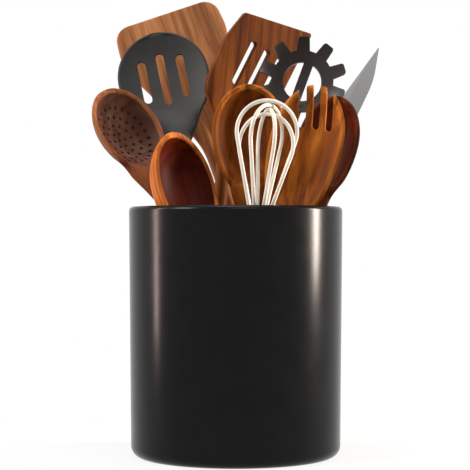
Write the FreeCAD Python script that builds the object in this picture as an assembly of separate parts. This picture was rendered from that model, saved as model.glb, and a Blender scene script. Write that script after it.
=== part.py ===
import FreeCAD, Part
import math
import os

# A stoneware utensil crock and the eleven utensils that stand in it. Sizes in millimetres.
# +Z is up and +X is to the right as seen from the front, which is the -Y side.
# The origin is the middle of the crock's underside.

# Crock
crock_height = 176.0
crock_top_radius = 75.4
crock_base_radius = 73.8
crock_wall = 6.6
crock_floor = 8.0
crock_rim_round = 3.2
crock_base_round = 8.0
crock_inner_round = 8.0

# Clearances
stand_gap = 0.2
socket_gap = 0.05

# Where each utensil stands. The rim point is where its axis passes the height of the rim,
# and the foot point is where it meets the floor, both in shares of the inner radius.
# The turn is in degrees about its own axis, positive towards the right.
poses = {
    "flat_turner": {"rim": (-0.044, 0.828), "foot": (0.814, 0.145), "turn": 0.0},
    "slotted_turner": {"rim": (-0.172, 0.642), "foot": (-0.378, 0.640), "turn": 26.0},
    "skimmer": {"rim": (-0.676, 0.029), "foot": (0.610, -0.581), "turn": 41.0},
    "ladle": {"rim": (-0.429, -0.349), "foot": (0.253, -0.552), "turn": 52.0},
    "serving_spoon": {"rim": (0.147, 0.000), "foot": (0.176, 0.131), "turn": 8.0},
    "fork_spoon": {"rim": (0.535, -0.378), "foot": (-0.116, 0.000), "turn": -16.0},
    "mixing_spoon": {"rim": (0.770, 0.000), "foot": (0.116, -0.102), "turn": -12.0},
    "slotted_spoon": {"rim": (-0.472, 0.378), "foot": (0.058, -0.378), "turn": 0.0},
    "pasta_server": {"rim": (0.215, 0.436), "foot": (-0.679, 0.436), "turn": 0.0},
    "whisk": {"rim": (0.243, -0.811), "foot": (0.028, -0.741), "turn": 0.0},
    "knife": {"rim": (0.637, 0.516), "foot": (-0.640, 0.109), "turn": 0.0},
}

# Handles of the wooden utensils
handle_foot_radius = 4.6
handle_radius = 5.0

# Flat turner
flat_turner_length = crock_height + 170.0
flat_turner_head_length = 110.0
flat_turner_head_width = 86.0
flat_turner_thickness = 6.0
flat_turner_corner = 12.0
flat_turner_edge_round = 1.6

# Slotted turner
slotted_turner_head_length = 98.0
slotted_turner_head_width = 60.0
slotted_turner_head_angle = 17.5
slotted_turner_neck_at = crock_height + 46.0
slotted_turner_thickness = 6.0
slotted_turner_edge_round = 1.4
turner_slot_width = 5.2
turner_slot_length = 36.0
turner_slot_pitch = 12.2
turner_slot_count = 3
turner_slot_shift = 4.5
turner_slot_lean = 6.0

# Necks of the spoons. In each spoon below, "widest" is how far down the bowl
# its widest place lies, in shares of the bowl's length from the tip.
spoon_neck_length = 44.0
neck_overlap = 8.0

# Skimmer
skimmer_length = crock_height + 116.0
skimmer_bowl_length = 70.0
skimmer_widest = 0.46
skimmer_width = 58.0
skimmer_back = 19.0
skimmer_lip = 3.6
skimmer_wall = 3.4
skimmer_hole_radius = 1.2
skimmer_hole_row_step = 4.9
skimmer_hole_rows = 5

# Ladle
ladle_length = crock_height + 52.0
ladle_bowl_length = 84.0
ladle_widest = 0.46
ladle_width = 61.0
ladle_back = 23.0
ladle_lip = 3.8
ladle_wall = 3.6

# Serving spoon
serving_length = crock_height + 78.5
serving_bowl_length = 78.0
serving_widest = 0.43
serving_width = 53.0
serving_back = 13.0
serving_lip = 3.4
serving_wall = 3.2

# Fork spoon
fork_length = crock_height + 85.0
fork_bowl_length = 100.0
fork_widest = 0.40
fork_width = 52.0
fork_back = 12.0
fork_lip = 3.4
fork_wall = 3.2
fork_slot_width = 5.4
fork_slot_length = 31.0
fork_slot_pitch = 9.8
fork_slot_count = 3
fork_slot_lean = 8.0
fork_slot_shift = 1.5
fork_slot_run_out = 30.0

# Mixing spoon
mixing_length = crock_height + 78.5
mixing_bowl_length = 78.0
mixing_widest = 0.43
mixing_width = 44.0
mixing_back = 12.0
mixing_lip = 3.2
mixing_wall = 3.2

# Slotted spoon, a silicone head on a wooden handle
slotted_spoon_length = crock_height + 143.0
slotted_spoon_bowl_length = 80.0
slotted_spoon_widest = 0.45
slotted_spoon_width = 68.0
slotted_spoon_back = 10.0
slotted_spoon_lip = 2.4
slotted_spoon_wall = 2.8
slotted_spoon_neck_radius = 7.0
slotted_spoon_neck_length = 24.0
spoon_slot_width = 6.0
spoon_slot_length = 34.0
spoon_slot_pitch = 14.5
spoon_slot_count = 3
spoon_middle_slot_extra = 8.0

# Pasta server, a nylon head on a wooden handle
pasta_ring_centre = crock_height + 99.0
pasta_ring_radius = 22.5
pasta_hole_radius = 14.0
pasta_bar_width = 7.0
pasta_tooth_count = 8
pasta_tooth_step = 36.0
pasta_tooth_reach = 31.5
pasta_tooth_width = 10.0
pasta_tooth_tip_width = 8.0
pasta_dish_radius = 50.0
pasta_dish_wall = 5.0
pasta_neck_radius = 7.0
pasta_neck_length = 52.0

# Wooden handles that end in a tenon
tenon_radius = 4.0
tenon_length = 20.0

# Whisk
whisk_handle_length = crock_height - 36.0
whisk_handle_radius = 7.6
whisk_collar_radius = 8.6
whisk_collar_length = 14.0
whisk_spigot_radius = 2.6
whisk_spigot_length = 5.0
whisk_wire_radius = 1.35
whisk_wire_circle = 5.1
whisk_wire_depth = 7.0
whisk_wire_bend = 14.0
whisk_loop_count = 4
whisk_loop_step = 3.0
whisk_balloon_radius = 21.0
whisk_balloon_height = 64.0
whisk_first_angle = 14.0

# Knife
knife_length = crock_height + 149.0
knife_blade_thickness = 1.8
knife_heel_width = 22.5
knife_tip_width = 8.2
knife_handle_length = 116.0
knife_handle_width = 18.5
knife_scale_thickness = 5.2
knife_scale_round = 2.6
knife_rivet_radius = 2.5
knife_rivet_count = 3
knife_rivet_pitch = 34.0

inner_radius = crock_top_radius - crock_wall


def ring(y, z, half_width, half_depth):
    """A closed oval across the Z axis, pushed y to the back."""
    circle = Part.makeCircle(1.0)
    circle.rotate(FreeCAD.Vector(0, 0, 0), FreeCAD.Vector(0, 0, 1), 90)
    shape = FreeCAD.Matrix()
    shape.A11 = half_width
    shape.A22 = half_depth
    shape.A24 = y
    shape.A34 = z
    return Part.Wire(circle.transformGeometry(shape).Edges)


def rounded_outline(corners):
    """A closed outline in the XZ plane, each corner (x, z, radius) rounded."""
    runs = []
    for index, (x, z, radius) in enumerate(corners):
        before = corners[index - 1]
        after = corners[(index + 1) % len(corners)]
        here = FreeCAD.Vector(x, 0, z)
        back = (FreeCAD.Vector(before[0], 0, before[1]) - here).normalize()
        ahead = (FreeCAD.Vector(after[0], 0, after[1]) - here).normalize()
        half = back.getAngle(ahead) / 2
        reach = radius / math.tan(half)
        inward = (back + ahead).normalize() * (radius / math.sin(half) - radius)
        runs.append((here + back * reach, here + inward, here + ahead * reach, radius))
    edges = []
    for index, (start, middle, end, radius) in enumerate(runs):
        following = runs[(index + 1) % len(runs)][0]
        if radius > 0:
            edges.append(Part.Arc(start, middle, end).toShape())
        if end.distanceToPoint(following) > 0.001:
            edges.append(Part.makeLine(end, following))
    return Part.Wire(edges)


def plate(outline, thickness):
    """The outline as a plate, half its thickness on each side of the XZ plane."""
    face = Part.Face(outline)
    face.translate(FreeCAD.Vector(0, -thickness / 2, 0))
    return face.extrude(FreeCAD.Vector(0, thickness, 0))


def soft_plate(outline, thickness, rounding):
    """A plate with its two outlines rounded over."""
    solid = plate(outline, thickness)
    rims = [edge for edge in solid.Edges
            if abs(abs(edge.BoundBox.YMin) - thickness / 2) < 0.01
            and edge.BoundBox.YLength < 0.01]
    return solid.makeFillet(rounding, rims)


def slot_cutter(width, length, depth):
    """A long hole with round ends, from z = 0 up, cutting along Y."""
    radius = width / 2
    corners = [(-radius, 0, radius * 0.98), (radius, 0, radius * 0.98),
               (radius, length, radius * 0.98), (-radius, length, radius * 0.98)]
    return plate(rounded_outline(corners), depth)


def row_of_slots(count, pitch, width, length, depth, middle_extra=0.0):
    """Slots side by side, the row in the middle of the Z axis and the middle slot longer by the extra."""
    slots = []
    for index in range(count):
        extra = middle_extra if 2 * index == count - 1 else 0.0
        slot = slot_cutter(width, length + extra, depth)
        slot.translate(FreeCAD.Vector((index - (count - 1) / 2) * pitch, 0, -extra / 2))
        slots.append(slot)
    return Part.Compound(slots)


def turned(profile):
    """A solid turned about the Z axis from a closed outline in the XZ plane."""
    return Part.Face(profile).revolve(FreeCAD.Vector(0, 0, 0), FreeCAD.Vector(0, 0, 1), 360)


def wooden_handle(top, top_radius):
    """A turned handle from its round foot end to the given height."""
    middle = top * 0.5
    corners = [(0, 0, 0), (handle_foot_radius, 0, handle_foot_radius * 0.7),
               (handle_radius, middle, 200), (top_radius, top, 0), (0, top, 0)]
    return turned(rounded_outline(corners))


def quarter_oval(across, along, upper):
    """A quarter of an oval on the -X side, above or below the X axis."""
    side = FreeCAD.Vector(across, 0, 0)
    end = FreeCAD.Vector(0, 0, along)
    origin = FreeCAD.Vector(0, 0, 0)
    if along >= across:
        start = -math.pi / 2 if upper else -math.pi
        oval = Part.Ellipse(end, side, origin)
    else:
        start = math.pi / 2 if upper else math.pi
        oval = Part.Ellipse(side, end, origin)
    return Part.ArcOfEllipse(oval, start, start + math.pi / 2).toShape()


def cap(above, below, width, depth):
    """The part of an egg behind the XZ plane, widest at z = 0, with these sizes at the plane."""
    across = (width ** 2 / 4 + depth ** 2) / (2 * depth)
    stretch = 2 * across / width
    top = FreeCAD.Vector(0, 0, above * stretch)
    bottom = FreeCAD.Vector(0, 0, -below * stretch)
    edges = [quarter_oval(across, top.z, True), quarter_oval(across, -bottom.z, False),
             Part.makeLine(bottom, top)]
    egg = turned(Part.Wire(Part.sortEdges(edges)[0]))
    egg.translate(FreeCAD.Vector(0, depth - across, 0))
    size = 4 * max(across, top.z, -bottom.z)
    behind = Part.makeBox(size, size, size, FreeCAD.Vector(-size / 2, 0, -size / 2))
    return egg.common(behind)


def bowl(length, widest, width, back, lip, wall, cutters):
    """A dish with its hollow towards -Y and its widest place at z = 0, cut through by the cutters."""
    above = length * widest
    below = length - above
    hollow = cap(above - lip, below - lip * 1.5, width - 2 * lip, back - wall)
    return cap(above, below, width, back).cut([hollow] + cutters)


def neck_rings(end, length, radius, below, width, back):
    """Ovals that widen from a round neck into the lower end of a bowl, the last one inside it."""
    across = (width ** 2 / 4 + back ** 2) / (2 * back)
    inset = (below - neck_overlap) * width / (2 * across * below)
    bend = across * math.sqrt(1 - inset ** 2)
    deep = bend - across + back
    half_width = math.sqrt(bend ** 2 - (across - back) ** 2) * 0.75
    return [ring(0, end - length, radius, radius),
            ring(deep * 0.1, end - length * 0.62, radius * 1.15, radius),
            ring(deep * 0.4, end - length * 0.22, (radius * 1.15 + half_width) / 2, radius * 0.8),
            ring(deep * 0.45, end + neck_overlap, half_width, deep * 0.42)]


def wooden_spoon(length, bowl_length, widest, width, back, lip, wall, cutters):
    """A spoon cut from one piece of wood, foot at the origin and bowl towards -Y."""
    end = length - bowl_length
    below = bowl_length * (1 - widest)
    head = bowl(bowl_length, widest, width, back, lip, wall, cutters)
    head.translate(FreeCAD.Vector(0, 0, end + below))
    neck = Part.makeLoft(neck_rings(end, spoon_neck_length, handle_radius, below, width, back), True)
    return head.fuse([neck, wooden_handle(end - spoon_neck_length, handle_radius)])


def make_crock():
    return turned(rounded_outline([
        (0, 0, 0), (crock_base_radius, 0, crock_base_round),
        (crock_top_radius, crock_height, crock_rim_round), (inner_radius, crock_height, crock_rim_round),
        (crock_base_radius - crock_wall, crock_floor, crock_inner_round), (0, crock_floor, 0)]))


def make_flat_turner():
    neck = flat_turner_length - flat_turner_head_length
    half = flat_turner_head_width / 2
    top = flat_turner_length
    shoulder = top - 30.0
    corners = [(-handle_radius, neck - 20, 3), (handle_radius, neck - 20, 3), (handle_radius, neck, 60),
               (half, shoulder, 40), (half - 3, top, flat_turner_corner),
               (-half + 3, top, flat_turner_corner), (-half, shoulder, 40), (-handle_radius, neck, 60)]
    head = soft_plate(rounded_outline(corners), flat_turner_thickness, flat_turner_edge_round)
    rings = [ring(0, neck - 30, handle_radius, handle_radius),
             ring(0, neck - 6, handle_radius, handle_radius * 0.9),
             ring(0, neck + 26, handle_radius, flat_turner_thickness * 0.42)]
    return Part.makeLoft(rings, True).fuse([wooden_handle(neck - 30, handle_radius), head])


def make_slotted_turner():
    neck = slotted_turner_neck_at
    half = slotted_turner_head_width / 2
    length = slotted_turner_head_length
    corners = [(-handle_radius + 1, -10, 1), (handle_radius - 1, -10, 1), (handle_radius + 2, -2, 20),
               (half - 2, 28, 18), (half + 6, length, 2), (-half + 9, length - 9, 2),
               (-half + 1, length - 34, 60), (-half, 26, 14), (-handle_radius, -2, 20)]
    head = soft_plate(rounded_outline(corners), slotted_turner_thickness, slotted_turner_edge_round)
    slots = row_of_slots(turner_slot_count, turner_slot_pitch, turner_slot_width, turner_slot_length,
                         slotted_turner_thickness * 3)
    slots.rotate(FreeCAD.Vector(0, 0, turner_slot_length / 2), FreeCAD.Vector(0, 1, 0), turner_slot_lean)
    slots.translate(FreeCAD.Vector(turner_slot_shift, 0, length * 0.36))
    head = head.cut(slots)
    head.Placement = FreeCAD.Placement(FreeCAD.Vector(0, 0, neck),
                                       FreeCAD.Rotation(FreeCAD.Vector(0, 1, 0), slotted_turner_head_angle))
    rings = [ring(0, neck - 50, handle_radius, handle_radius),
             ring(0, neck - 12, handle_radius, handle_radius * 0.9),
             ring(0, neck + 12, handle_radius, slotted_turner_thickness * 0.42)]
    return Part.makeLoft(rings, True).fuse([wooden_handle(neck - 50, handle_radius), head])


def make_skimmer():
    holes = []
    for row in range(skimmer_hole_rows):
        count = max(1, 6 * row)
        for index in range(count):
            angle = 2 * math.pi * index / count
            radius = row * skimmer_hole_row_step
            drawn = skimmer_bowl_length / skimmer_width
            middle = skimmer_bowl_length * (skimmer_widest - 0.5)
            start = FreeCAD.Vector(radius * math.cos(angle), -5, middle + radius * math.sin(angle) * drawn)
            holes.append(Part.makeCylinder(skimmer_hole_radius, skimmer_back * 2, start,
                                           FreeCAD.Vector(0, 1, 0)))
    return wooden_spoon(skimmer_length, skimmer_bowl_length, skimmer_widest, skimmer_width,
                        skimmer_back, skimmer_lip, skimmer_wall, holes)


def make_ladle():
    return wooden_spoon(ladle_length, ladle_bowl_length, ladle_widest, ladle_width,
                        ladle_back, ladle_lip, ladle_wall, [])


def make_serving_spoon():
    return wooden_spoon(serving_length, serving_bowl_length, serving_widest, serving_width,
                        serving_back, serving_lip, serving_wall, [])


def make_mixing_spoon():
    return wooden_spoon(mixing_length, mixing_bowl_length, mixing_widest, mixing_width,
                        mixing_back, mixing_lip, mixing_wall, [])


def make_fork_spoon():
    slots = row_of_slots(fork_slot_count, fork_slot_pitch, fork_slot_width,
                         fork_slot_length + fork_slot_run_out, fork_width)
    slots.rotate(FreeCAD.Vector(0, 0, 0), FreeCAD.Vector(0, 1, 0), -fork_slot_lean)
    slots.translate(FreeCAD.Vector(fork_slot_shift, 0, fork_bowl_length * fork_widest - fork_slot_length))
    return wooden_spoon(fork_length, fork_bowl_length, fork_widest, fork_width,
                        fork_back, fork_lip, fork_wall, [slots])


def tenon_handle(shoulder):
    """A round wooden handle up to its shoulder, with a tenon above it."""
    tenon = Part.makeCylinder(tenon_radius, tenon_length, FreeCAD.Vector(0, 0, shoulder))
    return wooden_handle(shoulder, handle_radius + 0.6).fuse(tenon)


def socket(shoulder):
    """The bore that takes a tenon."""
    return Part.makeCylinder(tenon_radius + socket_gap, tenon_length + 1, FreeCAD.Vector(0, 0, shoulder))


def slotted_spoon_shoulder():
    return slotted_spoon_length - slotted_spoon_bowl_length - slotted_spoon_neck_length - tenon_length


def make_slotted_spoon_head():
    end = slotted_spoon_length - slotted_spoon_bowl_length
    shoulder = slotted_spoon_shoulder()
    slots = row_of_slots(spoon_slot_count, spoon_slot_pitch, spoon_slot_width, spoon_slot_length,
                         slotted_spoon_width, spoon_middle_slot_extra)
    slots.translate(FreeCAD.Vector(0, 0, -spoon_slot_length / 2))
    below = slotted_spoon_bowl_length * (1 - slotted_spoon_widest)
    head = bowl(slotted_spoon_bowl_length, slotted_spoon_widest, slotted_spoon_width, slotted_spoon_back,
                slotted_spoon_lip, slotted_spoon_wall, [slots])
    head.translate(FreeCAD.Vector(0, 0, end + below))
    neck = Part.makeLoft(neck_rings(end, slotted_spoon_neck_length, slotted_spoon_neck_radius,
                                    below, slotted_spoon_width, slotted_spoon_back), True)
    stem = Part.makeCylinder(slotted_spoon_neck_radius, end - slotted_spoon_neck_length - shoulder,
                             FreeCAD.Vector(0, 0, shoulder))
    return head.fuse([neck, stem.cut(socket(shoulder))])


def make_pasta_head():
    centre = pasta_ring_centre
    shoulder = centre - pasta_ring_radius - pasta_neck_length
    flat = Part.Face(Part.Wire(Part.makeCircle(pasta_ring_radius, FreeCAD.Vector(0, 0, centre),
                                               FreeCAD.Vector(0, 1, 0))))
    teeth = []
    for index in range(pasta_tooth_count):
        angle = (index - (pasta_tooth_count - 1) / 2) * pasta_tooth_step
        root = pasta_ring_radius - 4
        corners = [(-pasta_tooth_width / 2, root, 0), (pasta_tooth_width / 2, root, 0),
                   (pasta_tooth_tip_width / 2, pasta_tooth_reach, 2),
                   (-pasta_tooth_tip_width / 2, pasta_tooth_reach, 2)]
        tooth = plate(rounded_outline(corners), 80)
        tooth.Placement = FreeCAD.Placement(FreeCAD.Vector(0, 0, centre),
                                            FreeCAD.Rotation(FreeCAD.Vector(0, 1, 0), angle))
        teeth.append(tooth)
    disc = flat.extrude(FreeCAD.Vector(0, 80, 0))
    disc.translate(FreeCAD.Vector(0, -40, 0))
    hole = Part.makeCylinder(pasta_hole_radius, 80, FreeCAD.Vector(0, -40, centre), FreeCAD.Vector(0, 1, 0))
    bar = Part.makeBox(pasta_bar_width, 80, 2 * pasta_ring_radius - 4,
                       FreeCAD.Vector(-pasta_bar_width / 2, -40, centre - pasta_ring_radius + 2))
    outline = disc.cut(hole).fuse(teeth + [bar])
    middle = FreeCAD.Vector(0, -pasta_dish_radius + pasta_dish_wall, centre)
    dish = Part.makeSphere(pasta_dish_radius, middle).cut(
        Part.makeSphere(pasta_dish_radius - pasta_dish_wall, middle))
    back_half = Part.makeBox(200, 100, 200, FreeCAD.Vector(-100, middle.y, centre - 100))
    dish = dish.common(back_half)
    head = dish.common(outline)
    rings = [ring(0, shoulder, pasta_neck_radius, pasta_neck_radius),
             ring(0, shoulder + 24, pasta_neck_radius, pasta_neck_radius),
             ring(-2.0, centre - pasta_ring_radius + 6, pasta_neck_radius, 3.2)]
    neck = Part.makeLoft(rings, True)
    return head.fuse(neck).cut(socket(shoulder))


def whisk_collar_top():
    return whisk_handle_length + whisk_collar_length


def make_whisk_handle():
    length = whisk_handle_length
    corners = [(0, 0, 0), (handle_foot_radius, 0, handle_foot_radius * 0.65),
               (whisk_handle_radius, length * 0.36, length * 0.85),
               (whisk_handle_radius * 0.9, length * 0.72, length * 1.4), (whisk_handle_radius, length, 0.6),
               (whisk_spigot_radius, whisk_handle_length, 0),
               (whisk_spigot_radius, whisk_handle_length + whisk_spigot_length, 0.4),
               (0, whisk_handle_length + whisk_spigot_length, 0)]
    return turned(rounded_outline(corners))


def wire_angles(loop):
    """The two sides of one loop, in degrees about the whisk's axis."""
    first = whisk_first_angle + loop * 180.0 / whisk_loop_count
    return (first, first + 180.0)


def make_whisk_collar():
    base = FreeCAD.Vector(0, 0, whisk_handle_length)
    collar = Part.makeCylinder(whisk_collar_radius, whisk_collar_length, base)
    collar = collar.makeFillet(1.5, [edge for edge in collar.Edges if edge.BoundBox.ZMin > base.z + 1
                                     and edge.BoundBox.ZLength < 0.01])
    cutters = [Part.makeCylinder(whisk_spigot_radius + socket_gap, whisk_spigot_length + 0.2, base)]
    for loop in range(whisk_loop_count):
        for degrees in wire_angles(loop):
            turn = math.radians(degrees)
            start = FreeCAD.Vector(whisk_wire_circle * math.cos(turn), whisk_wire_circle * math.sin(turn),
                                   whisk_collar_top() - whisk_wire_depth - 0.2)
            cutters.append(Part.makeCylinder(whisk_wire_radius + socket_gap, 20, start))
    return collar.cut(cutters)


def make_whisk_loop(loop):
    """One wire: up from its bore, outwards, over the top and down the other side."""
    height = whisk_balloon_height - loop * whisk_loop_step
    bend = FreeCAD.Vector(whisk_wire_circle, 0, 3.0)
    centre = FreeCAD.Vector(0, 0, height)
    span = bend.distanceToPoint(centre)
    lean = math.asin(whisk_balloon_radius / span) - math.atan2(bend.x, height - bend.z)
    rising = FreeCAD.Vector(math.sin(lean), 0, math.cos(lean))
    reach = whisk_wire_bend * math.tan(lean / 2)
    across = FreeCAD.Vector(math.cos(lean / 2), 0, -math.sin(lean / 2))
    half = [FreeCAD.Vector(whisk_wire_circle, 0, -whisk_wire_depth),
            bend - FreeCAD.Vector(0, 0, reach),
            bend + across * (whisk_wire_bend / math.cos(lean / 2) - whisk_wire_bend),
            bend + rising * reach,
            centre + FreeCAD.Vector(math.cos(lean), 0, -math.sin(lean)) * whisk_balloon_radius]
    other = [FreeCAD.Vector(-point.x, 0, point.z) for point in half]
    top = centre + FreeCAD.Vector(0, 0, whisk_balloon_radius)
    path = Part.Wire([
        Part.makeLine(half[0], half[1]), Part.Arc(half[1], half[2], half[3]).toShape(),
        Part.makeLine(half[3], half[4]), Part.Arc(half[4], top, other[4]).toShape(),
        Part.makeLine(other[4], other[3]), Part.Arc(other[3], other[2], other[1]).toShape(),
        Part.makeLine(other[1], other[0])])
    section = Part.Wire(Part.makeCircle(whisk_wire_radius, half[0], FreeCAD.Vector(0, 0, 1)))
    wire = path.makePipeShell([section], True, False)
    wire.rotate(FreeCAD.Vector(0, 0, 0), FreeCAD.Vector(0, 0, 1), wire_angles(loop)[0])
    wire.translate(FreeCAD.Vector(0, 0, whisk_collar_top()))
    return wire


def knife_handle_outline():
    half = knife_handle_width / 2
    return [(-half + 1, 0, 5), (half + 1, 0, 7), (half - 2, knife_handle_length * 0.5, 60),
            (half, knife_handle_length, 2), (-half, knife_handle_length, 2),
            (-half - 1, knife_handle_length * 0.5, 90)]


def rivet_places():
    middle = knife_handle_length / 2
    return [FreeCAD.Vector(0, 0, middle + (index - (knife_rivet_count - 1) / 2) * knife_rivet_pitch)
            for index in range(knife_rivet_count)]


def rivet_group(radius, half_length):
    return [Part.makeCylinder(radius, 2 * half_length, place - FreeCAD.Vector(0, half_length, 0),
                              FreeCAD.Vector(0, 1, 0)) for place in rivet_places()]


def make_knife_blade():
    spine = -knife_handle_width / 2
    heel = knife_handle_length + 6
    edge = spine + knife_heel_width
    tang = plate(rounded_outline(knife_handle_outline()), knife_blade_thickness)
    corners = [(spine, knife_handle_length - 4, 0), (edge - 8, knife_handle_length - 4, 0),
               (edge - 8, heel - 2, 2), (edge, heel, 1.5), (knife_tip_width, knife_length - 26, 70),
               (0, knife_length, 0.4), (spine, knife_length - 62, 200)]
    blade = plate(rounded_outline(corners), knife_blade_thickness)
    blade = blade.fuse(tang).cut(rivet_group(knife_rivet_radius + socket_gap, knife_scale_thickness * 2))
    ridge_low = FreeCAD.Vector(spine + 7, 0, heel)
    grind = math.degrees(math.atan((knife_blade_thickness / 2 - 0.15) / (knife_heel_width - 7)))
    for side in (-1, 1):
        wedge = Part.makeBox(60, 10, knife_length - heel + 20, FreeCAD.Vector(0, 5 * side - 5, 0))
        wedge.Placement = FreeCAD.Placement(
            FreeCAD.Vector(ridge_low.x, side * knife_blade_thickness / 2, ridge_low.z),
            FreeCAD.Rotation(FreeCAD.Vector(0, 0, 1), -side * grind))
        blade = blade.cut(wedge)
    return blade


def make_knife_scale(side):
    """One half of the knife handle, on the front or the back of the tang."""
    solid = plate(rounded_outline(knife_handle_outline()), knife_scale_thickness)
    outer = [edge for edge in solid.Edges
             if abs(edge.BoundBox.YMin - side * knife_scale_thickness / 2) < 0.01
             and edge.BoundBox.YLength < 0.01]
    solid = solid.makeFillet(knife_scale_round, outer)
    solid.translate(FreeCAD.Vector(0, side * (knife_blade_thickness + knife_scale_thickness) / 2, 0))
    return solid.cut(rivet_group(knife_rivet_radius + socket_gap, knife_scale_thickness * 2))


def make_knife_rivets():
    half = knife_blade_thickness / 2 + knife_scale_thickness
    return Part.Compound(rivet_group(knife_rivet_radius, half))


def stand_in_crock(name, pieces):
    """Lean a utensil into its place and slide it down its axis until it stands on the floor."""
    pose = poses[name]
    foot = FreeCAD.Vector(pose["foot"][0], pose["foot"][1], 0) * inner_radius
    foot.z = crock_floor
    rim = FreeCAD.Vector(pose["rim"][0], pose["rim"][1], 0) * inner_radius
    rim.z = crock_height
    axis = (rim - foot).normalize()
    lean = FreeCAD.Rotation(FreeCAD.Vector(0, 0, 1), axis)
    turn = FreeCAD.Rotation(FreeCAD.Vector(0, 0, 1), pose["turn"])
    place = FreeCAD.Placement(foot, lean.multiply(turn))
    placed = [piece.transformed(place.toMatrix()) for piece in pieces]
    lowest = min(piece.optimalBoundingBox(False).ZMin for piece in placed)
    slide = axis * ((crock_floor + stand_gap - lowest) / axis.z)
    for piece in placed:
        piece.translate(slide)
    return placed


def build_all():
    nodes = {"crock": make_crock()}
    one_piece = {
        "flat_turner": make_flat_turner(),
        "slotted_turner": make_slotted_turner(),
        "skimmer": make_skimmer(),
        "ladle": make_ladle(),
        "serving_spoon": make_serving_spoon(),
        "fork_spoon": make_fork_spoon(),
        "mixing_spoon": make_mixing_spoon(),
    }
    for name, solid in one_piece.items():
        nodes[name] = stand_in_crock(name, [solid])[0]
    groups = {
        "slotted_spoon": {"slotted_spoon_handle": tenon_handle(slotted_spoon_shoulder()),
                          "slotted_spoon_head": make_slotted_spoon_head()},
        "pasta_server": {"pasta_server_handle": tenon_handle(pasta_ring_centre - pasta_ring_radius
                                                             - pasta_neck_length),
                         "pasta_server_head": make_pasta_head()},
        "whisk": {"whisk_handle": make_whisk_handle(), "whisk_collar": make_whisk_collar()},
        "knife": {"knife_blade": make_knife_blade(), "knife_scale_front": make_knife_scale(-1),
                  "knife_scale_back": make_knife_scale(1), "knife_rivets": make_knife_rivets()},
    }
    for loop in range(whisk_loop_count):
        groups["whisk"]["whisk_loop_%d" % (loop + 1)] = make_whisk_loop(loop)
    for name, pieces in groups.items():
        placed = stand_in_crock(name, list(pieces.values()))
        nodes.update(zip(pieces, placed))
    return nodes


def main():
    os.makedirs("parts", exist_ok=True)
    for name, shape in build_all().items():
        shape.exportStep("parts/%s.step" % name)


if __name__ == "__main__":
    main()
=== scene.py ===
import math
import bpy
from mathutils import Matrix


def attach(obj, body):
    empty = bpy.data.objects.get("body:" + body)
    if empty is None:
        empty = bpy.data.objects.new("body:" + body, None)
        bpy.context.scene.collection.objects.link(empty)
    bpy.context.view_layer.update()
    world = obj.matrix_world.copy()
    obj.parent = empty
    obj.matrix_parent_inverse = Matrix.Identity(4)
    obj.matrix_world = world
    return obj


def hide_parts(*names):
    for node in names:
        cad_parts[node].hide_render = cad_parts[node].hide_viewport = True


bl_info = {
    "name": "Utensil crock",
    "version": (1, 0, 0),
    "blender": (4, 5, 0),
    "location": "3D View > Sidebar > Crock",
    "description": "A black stoneware crock with wooden, silicone and steel utensils standing in it",
    "category": "Object",
}

import bmesh
import bpy
import numpy as np
from bpy.props import FloatProperty, FloatVectorProperty, IntProperty, PointerProperty
from mathutils import Matrix, Vector

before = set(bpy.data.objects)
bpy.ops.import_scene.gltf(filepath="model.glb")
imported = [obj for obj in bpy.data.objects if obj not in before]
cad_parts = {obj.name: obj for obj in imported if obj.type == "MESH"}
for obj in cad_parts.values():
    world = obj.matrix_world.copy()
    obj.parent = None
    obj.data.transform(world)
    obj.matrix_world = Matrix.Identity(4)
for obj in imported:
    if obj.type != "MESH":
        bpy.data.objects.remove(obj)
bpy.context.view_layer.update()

# All lengths are in metres. The crock, and where each utensil stands in it: the rim and foot points
# are in shares of the inner radius, and the turn is in degrees about the utensil's own axis.
RIM = 0.176
FLOOR = 0.008
TOP_RADIUS = 0.0754
WALL = 0.0066
INNER = TOP_RADIUS - WALL
STAND_GAP = 0.0002
POSES = {
    "flat_turner": ((-0.044, 0.828), (0.814, 0.145), 0.0),
    "slotted_turner": ((-0.172, 0.642), (-0.378, 0.640), 26.0),
    "skimmer": ((-0.676, 0.029), (0.610, -0.581), 41.0),
    "ladle": ((-0.429, -0.349), (0.253, -0.552), 52.0),
    "serving_spoon": ((0.147, 0.000), (0.176, 0.131), 8.0),
    "fork_spoon": ((0.535, -0.378), (-0.116, 0.000), -16.0),
    "mixing_spoon": ((0.770, 0.000), (0.116, -0.102), -12.0),
    "slotted_spoon": ((-0.472, 0.378), (0.058, -0.378), 0.0),
    "pasta_server": ((0.215, 0.436), (-0.679, 0.436), 0.0),
    "whisk": ((0.243, -0.811), (0.028, -0.741), 0.0),
    "knife": ((0.637, 0.516), (-0.640, 0.109), 0.0),
}
FOOT_RADIUS = 0.0046
FOOT_ROUND = 0.00322
WHISK_FOOT_ROUND = 0.00299
HANDLE_RADIUS = 0.005

# Necks of the spoons: how far a neck runs up into its bowl, how wide it ends there in shares of the
# bowl's width, and the height over which it turns into the bowl
NECK_OVERLAP = 0.014
NECK_SHARE = 0.86
NECK_BLEND = 0.021
NECK_STEPS = 26

# Points round a spoon's section, and rows of sections along its bowl
BACK_POINTS = 30
LIP_POINTS = 5
HOLLOW_POINTS = 26
BOWL_ROWS = 56

# The silicone spoon's round stem below its neck, which takes the handle's tenon
STEM_RADIUS = 0.007
STEM_LENGTH = 0.020

# Shading stays smooth across edges flatter than these angles, in degrees
SMOOTH = 32
SMOOTH_BLADE = 2.5
SMOOTH_SPOON = 38
SMOOTH_CROCK = 40
SMOOTH_WIRE = 50

# The camera, as fitted to the photograph: its distance, height, focal length and sideways shift
PICTURE = 470
FOCAL = 1625
SHIFT = -0.7
EYE = (0, -1.150, 0.156)

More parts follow.
